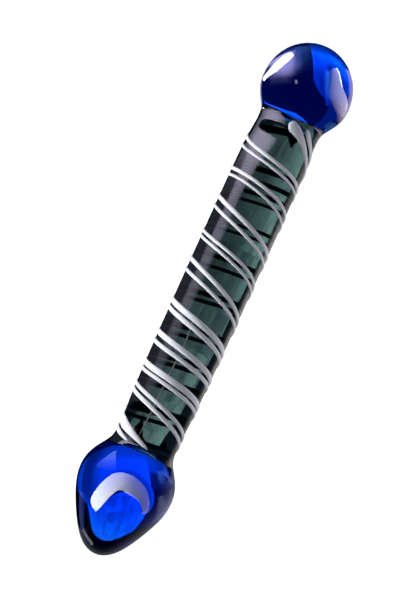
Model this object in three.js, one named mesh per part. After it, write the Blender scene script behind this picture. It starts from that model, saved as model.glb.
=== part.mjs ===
// A solid glass massage wand, made at the lamp from seven pieces of glass.
//
//   shaft_rod    smoky teal rod, slightly barrelled, with a neck at each end
//   ball_end     blue glass ball at the +X end
//   bulb_end     blue glass bulb at the -X end, blunt-pointed like a plum
//   thread_a1, thread_a2, thread_b1, thread_b2
//                white glass threads, wound round the rod as two pairs
//
// Everything is fused, so nothing moves. Sizes are in millimetres and +Z is up. The wand lies
// along X on its bulb, with its lowest point on z = 0. A station is a distance from the bulb's
// tip, and a winding angle starts at the top of the wand and grows towards -Y.

import * as THREE from 'three';

// ---- driving dimensions ----

const LENGTH = 188;
const BALL_RADIUS = 15.84;
const BULB_RADIUS = 16.26;
const SHAFT_RADIUS = 11.65;
const BALL_NECK_RADIUS = 11.0;
const BULB_NECK_RADIUS = 10.54;

const BULB_JOINT = 35.4;    // station where the rod is fused into the bulb
const BALL_JOINT = 158.4;   // station where the ball is fused onto the rod
const JOINT_GAP = 0.3;      // room left between one solid and the next

const BALL_LEAN = 0.6;      // hand work: the ball sits this far off the rod's axis, towards -Y
const BULB_LEAN = 0.35;     // and the bulb this far, towards +Y

const THREAD_HEIGHT = 0.5;  // how far a thread stands proud
const THREAD_SEAT = 0.25;   // room between a thread and the rod under it
const THREAD_CREST = 0.6;   // width of a thread's top, as a share of its foot

const ROUND_SEGMENTS = 40;
const THREAD_STEPS_PER_TURN = 28;
const FULL_TURN = 360;

// The outline of the whole wand, as [station, radius].
const OUTLINE = [
  [0, 0],
  [3, 6.31],
  [8, 10.02],
  [14, 13.19],
  [20, 15.55],
  [25, BULB_RADIUS],
  [29, 15.65],
  [33, 13.75],
  [37, 11.27],
  [41, BULB_NECK_RADIUS],
  [50, 10.81],
  [65, 11.28],
  [100, SHAFT_RADIUS - 0.04],
  [140, SHAFT_RADIUS + 0.02],
  [150, 11.36],
  [157, BALL_NECK_RADIUS],
  [160, 11.62],
  [163, 13.37],
  [167, 15.3],
  [171.5, BALL_RADIUS],
  [179.5, 13.84],
  [LENGTH, 0],
];

// The hand-wound threads. Each pass over the top of the rod is [station at -60 degrees,
// station at +60 degrees, width], from the ball down, one turn apart. A pass with no second
// station runs straight into the thread's end. The start's knots and the end are
// [winding angle, station, width]. An end's angle is counted from the last pass.
const PASS_HALF_ANGLE = 60;
const THREADS = [
  {
    name: 'thread_a1',
    start: [[-328, 156.4, 2.8], [-300, 152.4, 2.6]],
    passes: [
      [135.1, 129.0, 1.3],
      [111.0, 103.3, 1.2],
      [85.4, 78.2, 2.1],
      [63.2, 58.3, 2.1],
      [42.6, null, 3.6],
    ],
    end: [8, 37.2, 1.0],
  },
  {
    name: 'thread_a2',
    start: [[-362, 155.5, 4.4], [-331, 153.0, 3.6], [-296, 147.4, 2.2]],
    passes: [
      [132.8, 125.9, 1.0],
      [109.1, 100.9, 1.1],
      [82.8, 75.5, 1.7],
      [61.0, 55.9, 1.3],
      [39.3, null, 1.6],
    ],
    end: [-30, 37.4, 0.9],
  },
  {
    name: 'thread_b1',
    start: [[-155, 157.2, 3.0], [-117, 152.3, 2.0]],
    passes: [
      [145.9, 139.1, 1.4],
      [123.7, 114.2, 1.7],
      [100.7, 90.5, 1.6],
      [74.1, 68.1, 2.0],
      [55.4, 47.7, 1.4],
    ],
    end: [185, 38.4, 2.0],
  },
  {
    name: 'thread_b2',
    start: [[-190, 157.0, 3.0], [-125, 149.0, 2.0]],
    passes: [
      [143.0, 136.8, 1.0],
      [120.2, 111.0, 1.3],
      [96.8, 87.6, 1.3],
      [70.9, 65.5, 1.5],
      [53.1, 44.9, 1.5],
    ],
    end: [150, 38.0, 1.5],
  },
];

// ---- smooth curves ----

// A cubic spline through [x, y] points, with an even bend in its first and last stretch.
// The bends (second derivatives) come from a tridiagonal system, solved by elimination.
function smoothCurve(points) {
  const last = points.length - 1;
  const step = (i) => points[i + 1][0] - points[i][0];
  const slope = (i) => (points[i + 1][1] - points[i][1]) / step(i);

  const diagonal = [];
  const right = [];
  for (let i = 1; i < last; i += 1) {
    diagonal[i] = 2 * (step(i - 1) + step(i));
    right[i] = 6 * (slope(i) - slope(i - 1));
  }
  diagonal[1] += step(0);
  diagonal[last - 1] += step(last - 1);

  for (let i = 2; i < last; i += 1) {
    const factor = step(i - 1) / diagonal[i - 1];
    diagonal[i] -= factor * step(i - 1);
    right[i] -= factor * right[i - 1];
  }

  const bend = new Array(last + 1);
  bend[last] = 0;
  for (let i = last - 1; i > 0; i -= 1) {
    const next = i === last - 1 ? 0 : step(i) * bend[i + 1];
    bend[i] = (right[i] - next) / diagonal[i];
  }
  bend[0] = bend[1];
  bend[last] = bend[last - 1];

  return (x) => {
    let i = 0;
    while (i < last - 1 && x > points[i + 1][0]) i += 1;
    const width = step(i);
    const before = (points[i + 1][0] - x) / width;
    const after = (x - points[i][0]) / width;
    const curve = (before ** 3 - before) * bend[i] + (after ** 3 - after) * bend[i + 1];
    return before * points[i][1] + after * points[i + 1][1] + (curve * width ** 2) / 6;
  };
}

// The spline runs through squared radii, which closes both ends in a round tip.
const squaredRadius = smoothCurve(OUTLINE.map(([station, radius]) => [station, radius ** 2]));

function radiusAt(station) {
  return Math.sqrt(Math.max(squaredRadius(station), 0));
}

// How far the wand's middle line is off the rod's axis at a station, towards -Y.
function leanAt(station) {
  const towardsBall = THREE.MathUtils.smoothstep(station, 150, 170);
  const towardsBulb = 1 - THREE.MathUtils.smoothstep(station, 22, 45);
  return BALL_LEAN * towardsBall - BULB_LEAN * towardsBulb;
}

// ---- glass pieces, built standing: Y along the wand, Z at the winding angle's zero ----

// Moves every vertex sideways by the lean at its station.
function applyLean(geometry) {
  const position = geometry.getAttribute('position');
  for (let i = 0; i < position.count; i += 1) {
    position.setX(i, position.getX(i) + leanAt(position.getY(i)));
  }
  geometry.computeVertexNormals();
  return geometry;
}

// Turns the outline between the given stations into a solid. A flat end starts on the axis.
function turned(stations) {
  const profile = stations.map((station) => new THREE.Vector2(radiusAt(station), station));
  const first = stations[0];
  const last = stations[stations.length - 1];
  if (first > 0) profile.unshift(new THREE.Vector2(0, first));
  if (last < LENGTH) profile.push(new THREE.Vector2(0, last));
  if (first === 0) profile[0].x = 0;
  if (last === LENGTH) profile[profile.length - 1].x = 0;
  return applyLean(new THREE.LatheGeometry(profile, ROUND_SEGMENTS));
}

// Stations between two flat ends, closer together at the ends, where the outline bends most.
function neckStations(from, to, count) {
  return Array.from({ length: count + 1 }, (_, i) => {
    const share = i / count - 0.1 * Math.sin((i / count) * 2 * Math.PI);
    return from + (to - from) * share;
  });
}

// Stations from a round tip to a flat end, closer together at the tip.
function tipStations(tip, flat, count) {
  return Array.from({ length: count + 1 }, (_, i) => {
    const share = 1 - Math.cos((i / count) * (Math.PI / 2));
    return i === count ? flat : tip + (flat - tip) * share;
  });
}

function shaftRod() {
  return turned(neckStations(BULB_JOINT + JOINT_GAP / 2, BALL_JOINT - JOINT_GAP / 2, 34));
}

function ballEnd() {
  return turned(tipStations(LENGTH, BALL_JOINT + JOINT_GAP / 2, 18).reverse());
}

function bulbEnd() {
  return turned(tipStations(0, BULB_JOINT - JOINT_GAP / 2, 20));
}

// The knots of a thread as [winding angle, station, width], angle growing from ball to bulb.
function threadKnots({ start, passes, end }) {
  const knots = [...start];
  passes.forEach(([left, right, width], turn) => {
    const top = turn * FULL_TURN;
    knots.push([top - PASS_HALF_ANGLE, left, width]);
    if (right !== null) knots.push([top + PASS_HALF_ANGLE, right, width]);
  });
  const lastTop = (passes.length - 1) * FULL_TURN;
  knots.push([lastTop + end[0], end[1], end[2]]);
  return knots;
}

// A straight bar of the thread's section, bent round the rod along its knots.
function thread(lay) {
  const knots = threadKnots(lay);
  const stationAt = smoothCurve(knots.map(([angle, station]) => [angle, station]));
  const firstAngle = knots[0][0];
  const sweep = knots[knots.length - 1][0] - firstAngle;

  const widthAt = (angle) => {
    let i = 0;
    while (i < knots.length - 2 && angle > knots[i + 1][0]) i += 1;
    const share = (angle - knots[i][0]) / (knots[i + 1][0] - knots[i][0]);
    return THREE.MathUtils.lerp(knots[i][2], knots[i + 1][2], share);
  };

  const section = new THREE.Shape([
    new THREE.Vector2(-0.5, 0),
    new THREE.Vector2(0.5, 0),
    new THREE.Vector2(0.5 * THREAD_CREST, 1),
    new THREE.Vector2(-0.5 * THREAD_CREST, 1),
  ]);
  const steps = Math.ceil((sweep / FULL_TURN) * THREAD_STEPS_PER_TURN);
  const bar = new THREE.ExtrudeGeometry(section, { depth: 1, steps, bevelEnabled: false });

  const position = bar.getAttribute('position');
  for (let i = 0; i < position.count; i += 1) {
    const angle = firstAngle + sweep * position.getZ(i);
    const station = stationAt(angle) + position.getX(i) * widthAt(angle);
    const radius = radiusAt(station) + THREAD_SEAT + position.getY(i) * THREAD_HEIGHT;
    const turn = THREE.MathUtils.degToRad(angle);
    position.setXYZ(i, radius * Math.sin(turn), station, radius * Math.cos(turn));
  }
  return applyLean(bar);
}

// ---- materials and assembly ----

function clearGlass(color) {
  return new THREE.MeshStandardMaterial({
    color,
    roughness: 0.03,
    metalness: 0,
    transparent: true,
    opacity: 0.5,
  });
}

const tealGlass = () => clearGlass(0x3f6f6a);
const blueGlass = () => clearGlass(0x0a2fd6);
const whiteGlass = () => new THREE.MeshStandardMaterial({ color: 0xe9e6f2, roughness: 0.15 });

function piece(name, geometry, material) {
  const mesh = new THREE.Mesh(geometry, material);
  mesh.name = name;
  return mesh;
}

// The standing wand, laid down so that its length runs along X.
const wand = new THREE.Group();
wand.rotation.z = -Math.PI / 2;
wand.position.set(-LENGTH / 2, 0, BULB_RADIUS);
wand.add(piece('shaft_rod', shaftRod(), tealGlass()));
wand.add(piece('ball_end', ballEnd(), blueGlass()));
wand.add(piece('bulb_end', bulbEnd(), blueGlass()));
for (const lay of THREADS) {
  wand.add(piece(lay.name, thread(lay), whiteGlass()));
}

const part = new THREE.Group();
part.add(wand);

export default part;
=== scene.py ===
"""The looks of a solid glass wand: a teal rod wound with white threads, with a blue ball at one
end and a blue pointed bulb at the other. It lies on a pale floor. Glowing sheets light it, from
under the floor and from around the wand, and most of them shine on one piece only.

Everything is in metres, in the CAD's frame: the wand lies along X, with the ball towards +X.
A station is a distance in millimetres from the bulb's tip along the wand, and a winding angle
starts at the top of the wand and grows towards -Y.
"""

import math

import bpy
import numpy as np
from mathutils import Matrix, Vector


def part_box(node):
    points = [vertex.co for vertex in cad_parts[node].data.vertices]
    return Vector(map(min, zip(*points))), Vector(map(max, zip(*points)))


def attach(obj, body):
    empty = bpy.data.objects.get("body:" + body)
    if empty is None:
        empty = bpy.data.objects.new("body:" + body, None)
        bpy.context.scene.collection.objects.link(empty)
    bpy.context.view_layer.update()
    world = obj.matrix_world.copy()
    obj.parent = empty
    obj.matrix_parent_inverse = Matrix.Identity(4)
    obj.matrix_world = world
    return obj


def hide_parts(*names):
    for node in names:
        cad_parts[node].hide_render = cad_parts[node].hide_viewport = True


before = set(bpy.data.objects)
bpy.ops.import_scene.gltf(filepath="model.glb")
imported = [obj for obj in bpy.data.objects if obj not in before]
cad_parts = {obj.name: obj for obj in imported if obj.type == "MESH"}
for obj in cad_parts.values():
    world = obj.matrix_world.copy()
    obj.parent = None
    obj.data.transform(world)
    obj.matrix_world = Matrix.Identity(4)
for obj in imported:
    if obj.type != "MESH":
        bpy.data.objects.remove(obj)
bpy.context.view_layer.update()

MM = 0.001

# ---- the wand's shape, as in the CAD ----

LENGTH = 188.0
BALL_RADIUS = 15.84
BULB_RADIUS = 16.26
SHAFT_RADIUS = 11.65
BALL_NECK_RADIUS = 11.0
BULB_NECK_RADIUS = 10.54
BULB_JOINT = 35.4
BALL_JOINT = 158.4
JOINT_LAP = 0.1
BALL_LEAN = 0.6
BULB_LEAN = 0.35
BALL_LEAN_STRETCH = (150, 170)
BULB_LEAN_STRETCH = (22, 45)

OUTLINE = [
    (0, 0),
    (3, 6.31),
    (8, 10.02),
    (14, 13.19),
    (20, 15.55),
    (25, BULB_RADIUS),
    (29, 15.65),
    (33, 13.75),
    (37, 11.27),
    (41, BULB_NECK_RADIUS),
    (50, 10.81),
    (65, 11.28),
    (100, SHAFT_RADIUS - 0.04),
    (140, SHAFT_RADIUS + 0.02),
    (150, 11.36),
    (157, BALL_NECK_RADIUS),
    (160, 11.62),
    (163, 13.37),
    (167, 15.3),
    (171.5, BALL_RADIUS),
    (179.5, 13.84),
    (LENGTH, 0),
]

PASS_HALF_ANGLE = 60        # degrees either way of the top, where a front pass begins and ends
FULL_TURN = 360
THREADS = {
    "thread_a1": {
        "start": [(-328, 156.4, 2.8), (-300, 152.4, 2.6)],
        "passes": [
            (135.1, 129.0, 1.3),
            (111.0, 103.3, 1.2),
            (85.4, 78.2, 2.1),
            (63.2, 58.3, 2.1),
            (42.6, None, 3.6),
        ],
        "end": (8, 37.2, 1.0),
    },
    "thread_a2": {
        "start": [(-362, 155.5, 4.4), (-331, 153.0, 3.6), (-296, 147.4, 2.2)],
        "passes": [
            (132.8, 125.9, 1.0),
            (109.1, 100.9, 1.1),
            (82.8, 75.5, 1.7),
            (61.0, 55.9, 1.3),
            (39.3, None, 1.6),
        ],
        "end": (-30, 37.4, 0.9),
    },
    "thread_b1": {
        "start": [(-155, 157.2, 3.0), (-117, 152.3, 2.0)],
        "passes": [
            (145.9, 139.1, 1.4),
            (123.7, 114.2, 1.7),
            (100.7, 90.5, 1.6),
            (74.1, 68.1, 2.0),
            (55.4, 47.7, 1.4),
        ],
        "end": (185, 38.4, 2.0),
    },
    "thread_b2": {
        "start": [(-190, 157.0, 3.0), (-125, 149.0, 2.0)],
        "passes": [
            (143.0, 136.8, 1.0),
            (120.2, 111.0, 1.3),
            (96.8, 87.6, 1.3),
            (70.9, 65.5, 1.5),
            (53.1, 44.9, 1.5),
        ],
        "end": (150, 38.0, 1.5),
    },
}


def smooth_curve(points):
    """A cubic spline through (x, y) points, with an even bend in its first and last stretch."""
    x = np.array([p[0] for p in points], float)
    y = np.array([p[1] for p in points], float)
    step = np.diff(x)
    slope = np.diff(y) / step
    count = len(x)
    system = np.zeros((count, count))
    right = np.zeros(count)
    system[0, :2] = 1, -1
    system[-1, -2:] = -1, 1
    for i in range(1, count - 1):
        system[i, i - 1 : i + 2] = step[i - 1], 2 * (step[i - 1] + step[i]), step[i]
        right[i] = 6 * (slope[i] - slope[i - 1])
    bend = np.linalg.solve(system, right)

    def at(value):
        i = np.clip(np.searchsorted(x, value) - 1, 0, count - 2)
        before = (x[i + 1] - value) / step[i]
        after = (value - x[i]) / step[i]
        curve = (before**3 - before) * bend[i] + (after**3 - after) * bend[i + 1]
        return before * y[i] + after * y[i + 1] + curve * step[i] ** 2 / 6

    return at


# The spline runs through squared radii, which closes both ends in a round tip.
squared_radius = smooth_curve([(station, radius**2) for station, radius in OUTLINE])


def radius_at(station):
    return np.sqrt(np.maximum(squared_radius(station), 0))


def smoothstep(value, low, high):
    share = np.clip((value - low) / (high - low), 0, 1)
    return share * share * (3 - 2 * share)


def lean_at(station):
    """How far the wand's middle line is off the rod's axis, towards -Y."""
    to_ball = smoothstep(station, *BALL_LEAN_STRETCH)
    to_bulb = 1 - smoothstep(station, *BULB_LEAN_STRETCH)
    return BALL_LEAN * to_ball - BULB_LEAN * to_bulb


# The wand's place, from the frame.
tip_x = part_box("bulb_end")[0].x
end_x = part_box("ball_end")[1].x
axis_z = (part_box("shaft_rod")[0].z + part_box("shaft_rod")[1].z) / 2
SCALE = (end_x - tip_x) / LENGTH    # metres to a millimetre of the wand


def place(station, radius, angle):
    """The point at a station, a radius and a winding angle in radians, in the row frame."""
    across = radius * np.sin(angle) + lean_at(station)
    return np.stack(
        [
            tip_x + station * SCALE,
            -across * SCALE,
            axis_z + radius * np.cos(angle) * SCALE,
        ],
        axis=-1,
    )


SHARP_ANGLE = math.radians(50)


def make_object(name, points, faces):
    mesh = bpy.data.meshes.new(name)
    mesh.from_pydata([tuple(p) for p in points], [], faces)
    mesh.validate()
    mesh.update()
    mesh.polygons.foreach_set("use_smooth", [True] * len(mesh.polygons))
    mesh.set_sharp_from_angle(angle=SHARP_ANGLE)
    piece = bpy.data.objects.new(name, mesh)
    bpy.context.scene.collection.objects.link(piece)
    return piece


# ---- glass turned from the outline ----

ROUND_SEGMENTS = 160
ROD_RINGS = 160
END_RINGS = 90


def turned(name, stations, tip_first=False, tip_last=False):
    """A closed solid of revolution between the first and last station."""
    angles = np.linspace(0, 2 * math.pi, ROUND_SEGMENTS, endpoint=False)
    rings = list(stations)
    if tip_first:
        rings = rings[1:]
    if tip_last:
        rings = rings[:-1]
    points = [place(stations[0], 0.0, 0.0)]
    for station in rings:
        points.extend(place(np.full(ROUND_SEGMENTS, station), radius_at(station), angles))
    points.append(place(stations[-1], 0.0, 0.0))
    last = len(points) - 1
    faces = []
    for j in range(ROUND_SEGMENTS):
        k = (j + 1) % ROUND_SEGMENTS
        faces.append((0, 1 + k, 1 + j))
        for i in range(len(rings) - 1):
            low = 1 + i * ROUND_SEGMENTS
            high = low + ROUND_SEGMENTS
            faces.append((low + j, low + k, high + k, high + j))
        top = 1 + (len(rings) - 1) * ROUND_SEGMENTS
        faces.append((last, top + j, top + k))
    return make_object(name, points, faces)


def tip_stations(tip, flat, count):
    """Stations from a round tip to a flat end, closer together at the tip."""
    share = 1 - np.cos(np.linspace(0, math.pi / 2, count + 1))
    return tip + (flat - tip) * share


rod = turned(
    "teal_rod",
    np.linspace(BULB_JOINT - JOINT_LAP, BALL_JOINT + JOINT_LAP, ROD_RINGS),
)
bulb = turned(
    "blue_bulb",
    tip_stations(0.0, BULB_JOINT + JOINT_LAP, END_RINGS),
    tip_first=True,
)
ball = turned(
    "blue_ball",
    tip_stations(LENGTH, BALL_JOINT - JOINT_LAP, END_RINGS)[::-1],
    tip_last=True,
)

# ---- threads ----

THREAD_PROUD = 0.45
THREAD_SUNK = 0.25
THREAD_SECTION_POINTS = 14
THREAD_STEPS_PER_TURN = 120
THREAD_TAPER = 7            # degrees of winding over which a thread's end comes to its full size
THREAD_END = 0.02           # what is left of its section at the very end, squared


def thread_knots(lay):
    """(winding angle, station, width) along a thread, the angle growing from ball to bulb."""
    knots = list(lay["start"])
    for turn, (left, right, width) in enumerate(lay["passes"]):
        top = turn * FULL_TURN
        knots.append((top - PASS_HALF_ANGLE, left, width))
        if right is not None:
            knots.append((top + PASS_HALF_ANGLE, right, width))
    last_top = (len(lay["passes"]) - 1) * FULL_TURN
    angle, station, width = lay["end"]
    knots.append((last_top + angle, station, width))
    return knots


def wound_thread(name, lay):
    """A thread with a lens-shaped section, sunk part of the way into the rod."""
    knots = thread_knots(lay)
    station_at = smooth_curve([(angle, station) for angle, station, _ in knots])
    first, last = knots[0][0], knots[-1][0]
    count = int((last - first) / FULL_TURN * THREAD_STEPS_PER_TURN)
    angles = np.linspace(first, last, count)
    middle = station_at(angles)
    width = np.interp(angles, [k[0] for k in knots], [k[2] for k in knots])
    from_end = np.minimum(angles - first, last - angles) / THREAD_TAPER
    end_taper = np.sqrt(np.clip(from_end, THREAD_END, 1))
    section = np.linspace(0, 2 * math.pi, THREAD_SECTION_POINTS, endpoint=False)
    points = []
    for angle, station, full, taper in zip(np.radians(angles), middle, width, end_taper):
        across = station + 0.5 * full * taper * np.cos(section)
        rise = np.sin(section)
        height = np.where(rise > 0, THREAD_PROUD * rise, THREAD_SUNK * rise) * taper
        points.extend(place(across, radius_at(across) + height, angle))
    faces = []
    size = THREAD_SECTION_POINTS
    for i in range(count - 1):
        for j in range(size):
            k = (j + 1) % size
            faces.append((i * size + j, i * size + k, (i + 1) * size + k, (i + 1) * size + j))
    faces.append(tuple(range(size))[::-1])
    faces.append(tuple(range((count - 1) * size, count * size)))
    thread = make_object(name, points, faces)
    across_thread = thread.data.attributes.new("across", "FLOAT", "POINT")
    across_thread.data.foreach_set("value", np.tile(np.cos(section), count).astype(np.float32))
    return thread


threads = {name: wound_thread("white_" + name, lay) for name, lay in THREADS.items()}

# ---- a painted glint: a hair-thin white line just under the rod's surface, standing in for a reflection ----

LINE_DEPTH = 0.5
LINE_RADIUS = 0.24
LINE_SIDES = 8
LINE_STEPS = 60
LINE_TAPER = 4              # millimetres over which its end comes to its full size
LINE_END = 0.05             # what is left of its section at the very end, squared
LINE_PATH = [(40.5, -17), (52.0, -13), (64.0, -11), (74.0, -9), (83.0, -14)]


# Painted reflection: this white tube in the glass stands in for a glint seen as a pale line.
def painted_glint_tube(name):
    """A hair-thin closed tube just under the rod's surface, through LINE_PATH.

    The path gives stations in millimetres and winding angles in degrees.
    """
    angle_at = smooth_curve(LINE_PATH)
    stations = np.linspace(LINE_PATH[0][0], LINE_PATH[-1][0], LINE_STEPS)
    ends = np.minimum(stations - stations[0], stations[-1] - stations)
    thickness = LINE_RADIUS * np.sqrt(np.clip(ends / LINE_TAPER, LINE_END, 1))
    turns = np.linspace(0, 2 * math.pi, LINE_SIDES, endpoint=False)
    points = []
    for station, angle, radius in zip(stations, np.radians(angle_at(stations)), thickness):
        middle = radius_at(station) - LINE_DEPTH
        points.extend(
            place(
                np.full(LINE_SIDES, station),
                middle + radius * np.sin(turns),
                angle + radius * np.cos(turns) / middle,
            )
        )
    faces = []
    for i in range(len(stations) - 1):
        for j in range(LINE_SIDES):
            k = (j + 1) % LINE_SIDES
            low = i * LINE_SIDES
            high = low + LINE_SIDES
            faces.append((low + j, high + j, high + k, low + k))
    faces.append(tuple(range(LINE_SIDES)))
    last = (len(stations) - 1) * LINE_SIDES
    faces.append(tuple(range(last, last + LINE_SIDES))[::-1])
    return make_object(name, points, faces)


# painted glint: white glass put where a reflected pale line shows
line = painted_glint_tube("painted_glint_line")

# ---- materials ----

GLASS_IOR = 1.47
RIPPLE_SCALE = 70.0         # noise features per metre
WHITE_ROUGHNESS = 0.12
STRAND_RELIEF = 0.03        # millimetres
STRANDS_ACROSS = 1.6        # noise features over half a thread's width
STRANDS_ALONG = 40.0        # noise features per metre along the wand


def new_material(name):
    material = bpy.data.materials.new(name)
    material.use_nodes = True
    nodes = material.node_tree.nodes
    nodes.clear()
    return material, nodes, material.node_tree.links


def noise(nodes, links, scale, detail=2.0):
    """Noise through the piece's own coordinates, scale in features per metre."""
    place_node = nodes.new("ShaderNodeTexCoord")
    texture = nodes.new("ShaderNodeTexNoise")
    texture.inputs["Scale"].default_value = scale
    texture.inputs["Detail"].default_value = detail
    links.new(place_node.outputs["Object"], texture.inputs["Vector"])
    return texture


def glass(name, density, tint, ripple):
    """Clear glass that takes up light by depth, with the faint ripple of hand work.

    Density is per metre, and ripple is its relief in millimetres.
    """
    material, nodes, links = new_material(name)
    output = nodes.new("ShaderNodeOutputMaterial")
    shader = nodes.new("ShaderNodeBsdfPrincipled")
    shader.inputs["Base Color"].default_value = (1, 1, 1, 1)
    shader.inputs["Roughness"].default_value = 0.0
    shader.inputs["IOR"].default_value = GLASS_IOR
    shader.inputs["Transmission Weight"].default_value = 1.0
    absorption = nodes.new("ShaderNodeVolumeAbsorption")
    absorption.inputs["Color"].default_value = (*tint, 1)
    absorption.inputs["Density"].default_value = density
    links.new(shader.outputs["BSDF"], output.inputs["Surface"])
    links.new(absorption.outputs["Volume"], output.inputs["Volume"])
    texture = noise(nodes, links, RIPPLE_SCALE)
    bump = nodes.new("ShaderNodeBump")
    bump.inputs["Strength"].default_value = 1.0
    bump.inputs["Distance"].default_value = ripple * MM
    links.new(texture.outputs["Fac"], bump.inputs["Height"])
    links.new(bump.outputs["Normal"], shader.inputs["Normal"])
    return material


def white_glass(name):
    """Opal glass with the long fine strands of a drawn-out thread."""
    material, nodes, links = new_material(name)
    output = nodes.new("ShaderNodeOutputMaterial")
    shader = nodes.new("ShaderNodeBsdfPrincipled")
    across = nodes.new("ShaderNodeAttribute")
    across.attribute_name = "across"
    place_node = nodes.new("ShaderNodeTexCoord")
    split = nodes.new("ShaderNodeSeparateXYZ")
    stretch = nodes.new("ShaderNodeMath")
    stretch.operation = "MULTIPLY"
    stretch.inputs[1].default_value = STRANDS_ALONG
    strand_place = nodes.new("ShaderNodeCombineXYZ")
    texture = nodes.new("ShaderNodeTexNoise")
    texture.inputs["Scale"].default_value = STRANDS_ACROSS
    texture.inputs["Detail"].default_value = 2.0
    ramp = nodes.new("ShaderNodeValToRGB")
    ramp.color_ramp.elements[0].position = 0.3
    ramp.color_ramp.elements[0].color = (0.74, 0.74, 0.80, 1)
    ramp.color_ramp.elements[1].position = 0.6
    ramp.color_ramp.elements[1].color = (0.95, 0.95, 0.98, 1)
    bump = nodes.new("ShaderNodeBump")
    bump.inputs["Strength"].default_value = 1.0
    bump.inputs["Distance"].default_value = STRAND_RELIEF * MM
    links.new(place_node.outputs["Object"], split.inputs["Vector"])
    links.new(split.outputs["X"], stretch.inputs[0])
    links.new(across.outputs["Fac"], strand_place.inputs["X"])
    links.new(stretch.outputs["Value"], strand_place.inputs["Y"])
    links.new(strand_place.outputs["Vector"], texture.inputs["Vector"])
    links.new(texture.outputs["Fac"], ramp.inputs["Fac"])
    links.new(texture.outputs["Fac"], bump.inputs["Height"])
    links.new(ramp.outputs["Color"], shader.inputs["Base Color"])
    links.new(bump.outputs["Normal"], shader.inputs["Normal"])
    shader.inputs["Roughness"].default_value = WHITE_ROUGHNESS
    shader.inputs["IOR"].default_value = GLASS_IOR
    links.new(shader.outputs["BSDF"], output.inputs["Surface"])
    return material


teal = glass("teal_glass", density=180.0, tint=(0.17, 0.34, 0.32), ripple=0.04)
blue = glass("blue_glass", density=300.0, tint=(0.0, 0.57, 0.91), ripple=0.05)
white = white_glass("white_glass")

for piece, node, material, slot in [
    (rod, "shaft_rod", teal, "teal_glass"),
    (ball, "ball_end", blue, "blue_glass"),
    (bulb, "bulb_end", blue, "blue_glass"),
    *[(threads[name], name, white, "white_glass") for name in THREADS],
    (line, None, white, "white_glass"),
]:
    piece.data.materials.append(material)
    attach(piece, "root")
    if node:
        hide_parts(node)

# ---- camera ----

CAMERA_LENS = 112.5
CAMERA_DISTANCE = 0.6258
CAMERA_STATION = 90.7       # the station that the picture's middle row crosses
CAMERA_SIDE = 3.05          # how far the picture's middle is from the axis, towards +Y
CAMERA_TILT = math.radians(8.9)
WAND_ROLL = math.radians(24.33)

forward = Vector((math.sin(CAMERA_TILT), 0, -math.cos(CAMERA_TILT)))
wand_way = Vector((math.cos(CAMERA_TILT), 0, math.sin(CAMERA_TILT)))
picture_side = Vector((0, -1, 0))
right = math.sin(WAND_ROLL) * wand_way + math.cos(WAND_ROLL) * picture_side
up = math.cos(WAND_ROLL) * wand_way - math.sin(WAND_ROLL) * picture_side
target = Vector((tip_x + CAMERA_STATION * MM, CAMERA_SIDE * MM, axis_z))
camera_data = bpy.data.cameras.new("camera")
camera_data.lens = CAMERA_LENS
camera_data.sensor_width = 36
camera_data.clip_start = 0.01
camera = bpy.data.objects.new("camera", camera_data)
bpy.context.scene.collection.objects.link(camera)
rotation = Matrix((right, up, -forward)).transposed()
camera.matrix_world = Matrix.Translation(target - forward * CAMERA_DISTANCE) @ rotation.to_4x4()
bpy.context.scene.camera = camera

# ---- stage ----
#
# The stage is laid out as the camera sees it: across is millimetres or degrees to the picture's
# right, down is towards its lower edge. The lights are glowing sheets. Most shine on one piece
# of the wand and let every other ray through, so each piece of glass has its own reflections.

CURVE_STEPS = 6
UNDER_DEPTH = 90.0          # millimetres beyond the wand, as the camera looks
SHADE_DEPTH = 88.0
ROD_LIGHT_RADIUS = 150.0
BALL_MIDDLE = 171.0
BALL_LIGHT_DISTANCE = 0.25
BULB_MIDDLE = 20.0
BULB_LIGHT_DISTANCE = 1.5
WAND_LIGHT_DISTANCE = 2.0
CLOUD_SCALE = 16.0          # noise features per metre
CLOUD_DETAIL = 4.0
CLOUD_SPAN = (0.3, 0.7)     # the noise values that give the faintest and the strongest glow


def under_wand(depth):
    """Points on a plane below the wand, in millimetres across and down the picture."""

    def point(across, down):
        return target + MM * (across * right - down * up + depth * forward)

    return point


def around(middle, distance):
    """Points round a middle, in degrees across and down from the way back to the camera."""

    def point(across, down):
        away = math.radians(math.hypot(across, down))
        side = (across * right - down * up).normalized()
        return middle + distance * (math.sin(away) * side - math.cos(away) * forward)

    return point


def beside_rod(station, turn):
    """A point at a station, turned by degrees round the rod from its top towards +Y."""
    reach = ROD_LIGHT_RADIUS * SCALE
    angle = math.radians(turn)
    return Vector(
        (
            tip_x + station * SCALE,
            reach * math.sin(angle),
            axis_z + reach * math.cos(angle),
        )
    )


under_floor = under_wand(UNDER_DEPTH)
around_ball = around(Vector(place(BALL_MIDDLE, 0.0, 0.0)), BALL_LIGHT_DISTANCE)
around_bulb = around(Vector(place(BULB_MIDDLE, 0.0, 0.0)), BULB_LIGHT_DISTANCE)
around_wand = around(target, WAND_LIGHT_DISTANCE)

TRANSMITTED = ("transmission",)
REFLECTED = ("glossy",)
DIFFUSE = ("diffuse",)


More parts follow.
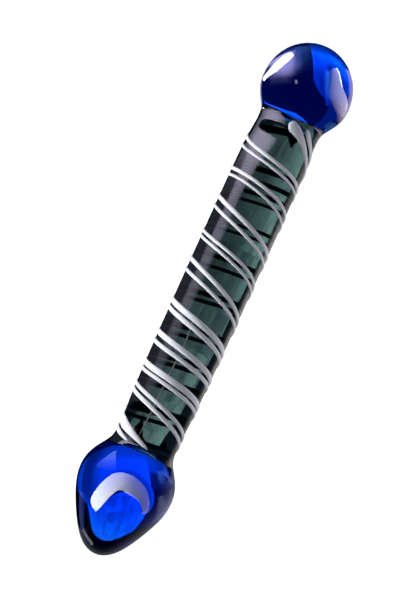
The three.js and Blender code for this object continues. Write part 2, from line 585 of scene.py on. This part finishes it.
def emission(name, color, see_through, clouds):
    """A material that glows by the mesh's own glow.

    A see-through one adds its glow to what is behind it, and any other hides what is behind it.
    Clouds, from 0 to 1, makes the glow uneven, as on a crumpled diffuser.
    """
    material, nodes, links = new_material(name)
    output = nodes.new("ShaderNodeOutputMaterial")
    shader = nodes.new("ShaderNodeEmission")
    shader.inputs["Color"].default_value = (*color, 1)
    glow = nodes.new("ShaderNodeAttribute")
    glow.attribute_name = "glow"
    if clouds:
        texture = noise(nodes, links, CLOUD_SCALE, CLOUD_DETAIL)
        uneven = nodes.new("ShaderNodeMapRange")
        uneven.inputs["From Min"].default_value = CLOUD_SPAN[0]
        uneven.inputs["From Max"].default_value = CLOUD_SPAN[1]
        uneven.inputs["To Min"].default_value = 1 - clouds
        uneven.inputs["To Max"].default_value = 1 + clouds
        uneven_glow = nodes.new("ShaderNodeMath")
        uneven_glow.operation = "MULTIPLY"
        links.new(texture.outputs["Fac"], uneven.inputs["Value"])
        links.new(uneven.outputs["Result"], uneven_glow.inputs[0])
        links.new(glow.outputs["Fac"], uneven_glow.inputs[1])
        links.new(uneven_glow.outputs["Value"], shader.inputs["Strength"])
    else:
        links.new(glow.outputs["Fac"], shader.inputs["Strength"])
    if see_through:
        clear = nodes.new("ShaderNodeBsdfTransparent")
        both = nodes.new("ShaderNodeAddShader")
        links.new(shader.outputs["Emission"], both.inputs[0])
        links.new(clear.outputs["BSDF"], both.inputs[1])
        links.new(both.outputs["Shader"], output.inputs["Surface"])
    else:
        links.new(shader.outputs["Emission"], output.inputs["Surface"])
    return material


def set_stage(panel, material, seen_by):
    """Puts a panel on the stage, seen only by the kinds of ray named."""
    panel.data.materials.append(material)
    panel.visible_camera = "camera" in seen_by
    panel.visible_diffuse = "diffuse" in seen_by
    panel.visible_glossy = "glossy" in seen_by
    panel.visible_transmission = "transmission" in seen_by
    panel.visible_shadow = False


def light_sheet(name, rows, to_point, color, seen_by, lit=(), see_through=True, clouds=0):
    """A sheet through rows of (across, down, glow), each row a smooth curve.

    Lit names the pieces the sheet shines on; with none named it shines on all of them.
    """
    points = []
    glows = []
    count = (len(rows[0]) - 1) * CURVE_STEPS + 1
    along = np.linspace(0, len(rows[0]) - 1, count)
    for row in rows:
        steps = range(len(row))
        across = smooth_curve([(i, row[i][0]) for i in steps])(along)
        down = smooth_curve([(i, row[i][1]) for i in steps])(along)
        points.extend(to_point(float(a), float(d)) for a, d in zip(across, down))
        glows.extend(np.interp(along, steps, [p[2] for p in row]))
    faces = []
    for i in range(len(rows) - 1):
        for j in range(count - 1):
            low = i * count + j
            faces.append((low, low + 1, low + count + 1, low + count))
    sheet = make_object(name, points, faces)
    glow = sheet.data.attributes.new("glow", "FLOAT", "POINT")
    glow.data.foreach_set("value", np.array(glows, np.float32))
    set_stage(sheet, emission(name, color, see_through, clouds), seen_by)
    if lit:
        group = bpy.data.collections.new(name)
        for piece in lit:
            group.objects.link(piece)
        sheet.light_linking.receiver_collection = group


def grid(across, down_and_glows):
    """Rows for a sheet whose columns stand at the given places across."""
    return [
        [(a, down, glow) for a, glow in zip(across, glows)] for down, glows in down_and_glows
    ]


def even(rows, glow):
    """Rows for a sheet with the same glow all over."""
    return [[(across, down, glow) for across, down in row] for row in rows]


# -- floor --


def floor_material():
    material, nodes, links = new_material("pale_floor")
    output = nodes.new("ShaderNodeOutputMaterial")
    shader = nodes.new("ShaderNodeBsdfPrincipled")
    shader.inputs["Base Color"].default_value = (0.9, 0.9, 0.9, 1)
    shader.inputs["Roughness"].default_value = 0.9
    shader.inputs["Emission Color"].default_value = (1, 1, 1, 1)
    shader.inputs["Emission Strength"].default_value = 0.95
    links.new(shader.outputs["BSDF"], output.inputs["Surface"])
    return material


FLOOR_HALF = 4.0
floor = make_object(
    "floor",
    [
        (-FLOOR_HALF, -FLOOR_HALF, 0),
        (FLOOR_HALF, -FLOOR_HALF, 0),
        (FLOOR_HALF, FLOOR_HALF, 0),
        (-FLOOR_HALF, FLOOR_HALF, 0),
    ],
    [(0, 1, 2, 3)],
)
set_stage(floor, floor_material(), ("camera", "diffuse"))

# -- light seen through the glass, from under the floor --

light_sheet(
    "under_rod",
    [
        [(-18, -79, 2.6), (5, -71, 2.5), (27, -64, 1.2), (50, -56, 0.2)],
        [(-27, -80, 3.2), (0, -64, 3.0), (22, -54, 1.3), (46, -44, 0.5)],
        [(-28, -69, 3.8), (-4, -53, 3.2), (16, -41, 1.1), (40, -31, 0.25)],
        [(-45, -51, 3.0), (-14, -33, 2.3), (12, -20, 0.95), (44, -7, 0.4)],
        [(-44, -21, 1.9), (-17, -6, 1.6), (6, 4, 1.25), (38, 14, 0.4)],
        [(-50, -4, 2.2), (-28, 7, 2.2), (-2, 19, 1.3), (34, 35, 0.4)],
        [(-47, 19, 2.4), (-27, 29, 2.0), (-5, 40, 1.3), (25, 53, 0.35)],
        [(-42, 37, 2.6), (-24, 46, 1.8), (-2, 56, 1.4), (28, 66, 0.6)],
        [(-46, 55, 2.6), (-26, 66, 1.8), (-2, 76, 1.4), (28, 86, 0.5)],
    ],
    under_floor,
    (1, 1, 1),
    TRANSMITTED,
    [rod],
)
light_sheet(
    "under_bulb_top",
    grid(
        [-56, -10, 15, 27, 60, 75, 160],
        [
            (150, [0.8, 0.8, 0.4, 0.3, 0.3, 0.7, 0.9]),
            (112, [1.4, 1.4, 0.5, 0.35, 0.3, 1.2, 1.2]),
            (100, [2.6, 2.3, 0.8, 0.4, 0.35, 1.4, 1.2]),
            (60, [3.0, 2.3, 0.9, 0.5, 0.4, 1.4, 1.2]),
            (46, [3.1, 2.3, 2.0, 1.6, 0.6, 1.4, 1.0]),
        ],
    ),
    under_floor,
    (1, 1, 1),
    TRANSMITTED,
    [bulb],
)
light_sheet(
    "under_bulb_bottom",
    grid(
        [-56, -10, 15, 36],
        [
            (46, [3.1, 2.3, 2.2, 2.0]),
            (20, [3.2, 2.8, 2.6, 2.4]),
            (-88, [3.4, 3.4, 3.2, 3.0]),
        ],
    ),
    under_floor,
    (1, 1, 1),
    TRANSMITTED,
    [bulb],
)
light_sheet(
    "under_bulb_side",
    grid(
        [-130, -88, -56],
        [
            (170, [0.6, 0.6, 0.9]),
            (100, [1.0, 0.8, 1.6]),
            (89, [1.2, 0.6, 1.5]),
            (84, [0.3, 0.2, 0.3]),
            (64, [0.15, 0.1, 0.2]),
        ],
    ),
    under_floor,
    (1, 1, 1),
    TRANSMITTED,
    [bulb],
)
light_sheet(
    "under_bulb_shade",
    [
        [(-62, 36, 2.0), (-57, 66, 2.0), (-32, 85, 2.0), (-6, 76, 2.1), (9, 62, 2.1)],
        [(-56, 36, 1.1), (-50, 60, 1.0), (-29, 76, 1.0), (-8, 69, 1.1), (6, 58, 1.3)],
        [(-48, 36, 0.4), (-41, 54, 0.3), (-26, 63, 0.3), (-9, 56, 0.3), (6, 50, 0.3)],
    ],
    under_wand(SHADE_DEPTH),
    (1, 1, 1),
    TRANSMITTED,
    [bulb],
    see_through=False,
)
light_sheet(
    "under_ball",
    [
        [
            (-56, down, side_glow),
            (0, down, glow),
            (20 - cut / 2, down, glow),
            (36 - cut, down, glow),
        ]
        # cut is how far the row is taken in at its right, in millimetres
        for down, cut, side_glow, glow in [
            (-140, 10, 0.2, 0.2),
            (-88.5, 16, 0.4, 0.3),
            (-88, 16, 1.8, 1.4),
            (-86, 9, 1.6, 1.4),
            (-81, 4, 1.6, 1.4),
            (-72, 0, 1.8, 1.5),
            (-64, 0, 2.4, 2.8),
            (-52, 0, 2.8, 4.2),
            (-40, 0, 2.0, 4.2),
            (-30, 0, 1.2, 1.6),
            (-10, 0, 0.8, 1.0),
            (60, 0, 0.6, 0.6),
        ]
    ],
    under_floor,
    (1, 1, 1),
    TRANSMITTED,
    [ball],
)
FAR_ACROSS = [130, 60, 46, 41, 38, 36]
light_sheet(
    "under_ball_far",
    [
        [(a, down, 3.8) for a, down in zip(FAR_ACROSS, [-92, -92, -93, -100, -114, -140])],
        [(a, -260, 3.0) for a in FAR_ACROSS],
    ],
    under_floor,
    (1, 1, 1),
    TRANSMITTED,
    [ball],
)
light_sheet(
    "under_ball_shade",
    [
        [(26, -58, 2.6), (27, -68, 2.0), (28, -76, 1.4), (27, -84, 1.4), (25, -94, 1.0)],
        [(21, -58, 0.8), (20, -68, 0.7), (19, -76, 0.6), (18, -84, 0.6), (16, -94, 0.3)],
        [(15, -59, 0.8), (10, -68, 0.7), (3, -76, 0.6), (-5, -84, 0.6), (-22, -94, 0.3)],
    ],
    under_wand(SHADE_DEPTH),
    (1, 1, 1),
    TRANSMITTED,
    [ball],
    see_through=False,
)

# -- reflections in the ball --

light_sheet(
    "ball_white",
    [
        [(-33, -88, 17), (-45, -75, 17), (-72, -58, 17), (-98, -52, 14), (-124, -44, 11)],
        [(-36, -97, 17), (-49, -103, 17), (-77, -91, 17), (-99, -80, 14), (-129, -68, 11)],
    ],
    around_ball,
    (0.92, 0.92, 1.05),
    REFLECTED,
    [ball],
)
light_sheet(
    "ball_purple",
    grid(
        [-104, -84, -54, -40, -26, -12],
        [
            (-110, [0, 4, 9, 6, 0.3, 0]),
            (-88, [0, 7, 10, 10, 1, 0]),
            (-72, [0, 9, 12, 13, 2, 0]),
            (-57, [0, 8, 15, 13, 4, 0]),
            (-44, [0, 3, 9, 8, 1, 0]),
            (-32, [0, 1, 2, 0.6, 0, 0]),
            (-10, [0, 0, 0, 0, 0, 0]),
        ],
    ),
    around_ball,
    (0.45, 0.43, 1.0),
    REFLECTED,
    [ball],
)
light_sheet(
    "ball_blue_haze",
    grid(
        [-60, -20, 0, 26],
        [
            (-125, [0.5, 1.2, 1, 0]),
            (-104, [1, 3, 2, 0]),
            (-70, [1, 3.4, 1, 0]),
            (-38, [0, 0, 0, 0]),
        ],
    ),
    around_ball,
    (0.08, 0.24, 1.0),
    REFLECTED,
    [ball],
)
light_sheet(
    "ball_glint",
    [
        [(-29, -24, 1), (-29, -17, 3), (-29, -11, 1)],
        [(-25, -24, 4), (-25, -17, 7), (-25, -11, 4)],
        [(-21, -24, 1), (-21, -17, 3), (-21, -11, 1)],
    ],
    around_ball,
    (0.85, 0.78, 1.0),
    REFLECTED,
    [ball],
)
light_sheet(
    "ball_right",
    [
        [(56, -46, 0), (55, -24, 0), (54, -4, 0), (54, 14, 0), (58, 32, 0)],
        [(64, -50, 4), (65, -26, 4.6), (66, -6, 4.4), (68, 14, 3.8), (73, 34, 2.6)],
        [(70, -52, 5), (75, -32, 5.5), (81, -14, 6.5), (89, 6, 6), (98, 32, 5)],
        [(75, -54, 5.5), (82, -38, 6), (88, -19, 6), (99, -3, 6), (130, 22, 4)],
    ],
    around_ball,
    (0.9, 0.9, 1.25),
    REFLECTED,
    [ball],
)
light_sheet(
    "ball_right_low",
    [
        [(58, 32, 0), (68, 50, 0), (82, 70, 0), (94, 92, 0)],
        [(73, 34, 2.6), (84, 54, 2.6), (98, 72, 1.2), (108, 90, 0.2)],
        [(98, 32, 5), (108, 54, 3.6), (118, 72, 1.4), (124, 88, 0.1)],
        [(130, 22, 4), (142, 42, 2.0), (146, 58, 0.8), (144, 80, 0)],
    ],
    around_ball,
    (1.0, 0.8, 0.85),
    REFLECTED,
    [ball],
)
light_sheet(
    "ball_teal_edge",
    [
        [(40, -40, 0), (40, -8, 0), (46, 24, 0)],
        [(50, -42, 2.2), (49, -8, 1.8), (56, 22, 1)],
        [(62, -44, 0), (60, -8, 0.6), (66, 20, 0)],
    ],
    around_ball,
    (0.25, 1.0, 0.8),
    REFLECTED,
    [ball],
)
light_sheet(
    "ball_line",
    even(
        [
            [(72, -54), (80, -40), (84.5, -24), (92, -9)],
            [(75, -54), (83.5, -40), (88, -24), (95, -9)],
        ],
        30,
    ),
    around_ball,
    (0.9, 0.95, 1.0),
    REFLECTED,
    [ball],
)
light_sheet(
    "ball_low_haze",
    [
        [(52, 84, 0), (56, 104, 0), (60, 130, 0)],
        [(74, 88, 0.7), (82, 106, 0.9), (84, 128, 0.3)],
        [(104, 94, 0.9), (108, 112, 0.7), (106, 130, 0.2)],
        [(124, 98, 0), (126, 116, 0), (122, 132, 0)],
    ],
    around_ball,
    (0.15, 0.45, 1.0),
    REFLECTED,
    [ball],
)


def ring(first, last, count, radii_and_glows):
    """Rows round the way back to the camera, from one angle to another in degrees."""
    angles = np.radians(np.linspace(first, last, count))
    return [
        [(radius * math.cos(a), radius * math.sin(a), glow) for a in angles]
        for radius, glow in radii_and_glows
    ]


light_sheet(
    "ball_rim",
    ring(165, 330, 7, [(146, 0.0), (158, 1.3), (172, 1.3)]),
    around_wand,
    (0.85, 0.83, 1.0),
    REFLECTED,
    [ball],
)
light_sheet(
    "ball_right_rim",
    ring(-32, 12, 4, [(121, 0.0), (133, 1.3), (158, 1.3)]),
    around_wand,
    (0.85, 0.7, 1.2),
    REFLECTED,
    [ball],
)

# -- reflections in the bulb --

light_sheet(
    "bulb_arch",
    [
        [(-80, 13, 26), (-53, -10, 20), (-17, -33, 11), (25, -22, 3), (52, 16, 2.3), (60, 66, 2.3)],
        [(-78, 16, 26), (-42, 22, 20), (-14, 8, 12), (14, 20, 4), (35, 37, 2.3), (46, 62, 2.3)],
    ],
    around_bulb,
    (0.97, 1.0, 0.9),
    REFLECTED,
    [bulb],
    clouds=0.45,
)
light_sheet(
    "bulb_triangle",
    [
        [(-28, -95, 3), (-26, -95, 3), (-24, -95, 3)],
        [(-50, -77, 2.8), (-36, -77, 2.8), (-22, -77, 2.8)],
        [(-66, -62, 1.4), (-44, -62, 1.4), (-21, -62, 1.4)],
        [(-78, -40, 0), (-48, -36, 0), (-21, -36, 0)],
    ],
    around_bulb,
    (0.6, 0.85, 1.0),
    REFLECTED,
    [bulb],
)
light_sheet(
    "bulb_corner",
    [
        [(100, -34, 0), (118, -14, 0), (132, 8, 0)],
        [(108, -28, 1.3), (124, -8, 1.0), (140, 14, 0.6)],
        [(118, -36, 0), (136, -16, 0), (152, 6, 0)],
    ],
    around_bulb,
    (0.55, 0.65, 1.2),
    REFLECTED,
    [bulb],
)
light_sheet(
    "bulb_corner_haze",
    [
        [(78, -40, 0), (80, -20, 0), (82, 2, 0)],
        [(92, -36, 4), (92, -18, 4), (94, 0, 0)],
        [(112, -36, 1.5), (112, -18, 1), (112, 0, 0)],
    ],
    around_bulb,
    (0.1, 0.3, 1.0),
    REFLECTED,
    [bulb],
)
light_sheet(
    "bulb_side",
    [
        [(80, 30, 0), (78, 52, 0), (76, 84, 0), (72, 110, 0)],
        [(88, 34, 1.0), (88, 52, 1.2), (90, 76, 0.6), (86, 108, 0.35)],
        [(104, 30, 0.05), (110, 60, 0.35), (112, 88, 0.45), (104, 120, 0.35)],
        [(136, 20, 0.3), (138, 54, 0.3), (132, 96, 0.25), (120, 130, 0.25)],
    ],
    around_bulb,
    (0.85, 0.9, 1.2),
    REFLECTED,
    [bulb],
)
light_sheet(
    "bulb_streak",
    [
        [(-107, 33, 0), (-95, 37, 0), (-79, 46, 0), (-64, 56, 0), (-55, 66, 0)],
        [(-109, 39, 1.5), (-98, 44, 2.6), (-83, 53, 4), (-69, 63, 4), (-60, 73, 4)],
        [(-111, 45, 0), (-101, 51, 0), (-87, 60, 0), (-74, 70, 0), (-64, 80, 0)],
    ],
    around_bulb,
    (0.85, 0.82, 1.0),
    REFLECTED,
    [bulb],
)
light_sheet(
    "bulb_left",
    [
        [(-100, 6, 0), (-98, 24, 0.8), (-94, 36, 0)],
        [(-112, 8, 1.2), (-110, 24, 1.5), (-106, 38, 1.2)],
        [(-128, 8, 1.0), (-126, 28, 1.2), (-120, 44, 0.8)],
    ],
    around_bulb,
    (0.15, 0.25, 1.0),
    REFLECTED,
    [bulb],
)
light_sheet(
    "bulb_rim",
    ring(-5, 160, 8, [(80, 0.0), (100, 0.15), (118, 0.35), (150, 0.4), (172, 0.15)]),
    around_bulb,
    (0.75, 0.82, 1.0),
    REFLECTED,
    [bulb],
)

# -- reflections in the rod and its threads, by station and turn round the rod --

rod_and_threads = [rod, *threads.values()]
ROD_LEFT_STATIONS = [55, 95, 135, 152, 166, 184, 205]
ROD_RIGHT_STATIONS = [40, 90, 140, 165, 195]
light_sheet(
    "rod_left",
    [
        list(zip(ROD_LEFT_STATIONS, turns, glows))
        for turns, glows in [
            ([44, 44, 44, 46, 42, 20, 14], [0, 0, 0, 0, 0, 0, 0]),
            ([56, 56, 56, 57, 52, 36, 34], [0.7, 1.6, 2.9, 3.6, 4.6, 5.5, 5.5]),
            ([72, 72, 72, 72, 70, 62, 60], [0.8, 1.9, 3.4, 4.3, 5.8, 8.5, 8.5]),
            ([84, 84, 84, 84, 85, 86, 86], [0.8, 1.9, 3.4, 4.0, 4.8, 7.0, 7.0]),
            ([92, 92, 91, 91, 96, 108, 108], [0.3, 0.3, 0.3, 0.3, 0.8, 2.4, 2.4]),
            ([144, 144, 144, 144, 144, 136, 136], [0.06] * 7),
        ]
    ],
    beside_rod,
    (0.8, 0.75, 1.0),
    REFLECTED,
    rod_and_threads,
)
light_sheet(
    "rod_right",
    [
        [(station, turn, glow) for station, glow in zip(ROD_RIGHT_STATIONS, glows)]
        for turn, glows in [
            (-108, [0, 0, 0, 0, 0]),
            (-120, [0.1, 0.3, 0.5, 0.6, 0.6]),
            (-134, [0.3, 1.2, 1.3, 0.6, 0.6]),
            (-146, [0.4, 0.9, 0.9, 0.6, 0.6]),
            (-166, [0.1, 0.1, 0.15, 0.3, 0.3]),
        ]
    ],
    beside_rod,
    (1.0, 0.98, 0.92),
    REFLECTED,
    rod_and_threads,
)

# -- soft light on the white threads --

light_sheet(
    "side_left",
    even([[(-92, -70), (-94, -15), (-92, 40)], [(-55, -70), (-57, -15), (-55, 40)]], 5.6),
    around_wand,
    (0.95, 0.96, 1.0),
    DIFFUSE,
)
light_sheet(
    "side_right",
    even([[(100, -40), (102, 10), (100, 60)], [(80, -40), (82, 10), (80, 60)]], 1.6),
    around_wand,
    (0.97, 0.98, 1.0),
    DIFFUSE,
)
light_sheet(
    "overhead",
    even([[(-60, -60), (0, -60), (60, -60)], [(-60, 60), (0, 60), (60, 60)]], 0.2),
    around_wand,
    (0.85, 0.86, 1.0),
    DIFFUSE,
)

world = bpy.data.worlds.new("studio")
bpy.context.scene.world = world
world.use_nodes = True
world_nodes = world.node_tree.nodes
world_links = world.node_tree.links
world_way = world_nodes.new("ShaderNodeTexCoord")
world_split = world_nodes.new("ShaderNodeSeparateXYZ")
world_ramp = world_nodes.new("ShaderNodeValToRGB")
world_shift = world_nodes.new("ShaderNodeMapRange")
world_shift.inputs["From Min"].default_value = -1.0
world_ramp.color_ramp.elements[0].position = 0.33
world_ramp.color_ramp.elements[0].color = (0.06, 0.07, 0.13, 1)
world_ramp.color_ramp.elements[1].position = 0.45
world_ramp.color_ramp.elements[1].color = (1, 1, 1, 1)
sky_stop = world_ramp.color_ramp.elements.new(0.6)
sky_stop.color = (1, 1, 1, 1)
top_stop = world_ramp.color_ramp.elements.new(0.85)
top_stop.color = (0.1, 0.09, 0.13, 1)
world_links.new(world_way.outputs["Generated"], world_split.inputs["Vector"])
world_links.new(world_split.outputs["Z"], world_shift.inputs["Value"])
world_links.new(world_shift.outputs["Result"], world_ramp.inputs["Fac"])
world_links.new(world_ramp.outputs["Color"], world_nodes["Background"].inputs["Color"])
world_nodes["Background"].inputs["Strength"].default_value = 1.0
world.cycles_visibility.glossy = False
world.cycles_visibility.diffuse = False

bpy.context.scene.view_settings.view_transform = "Standard"
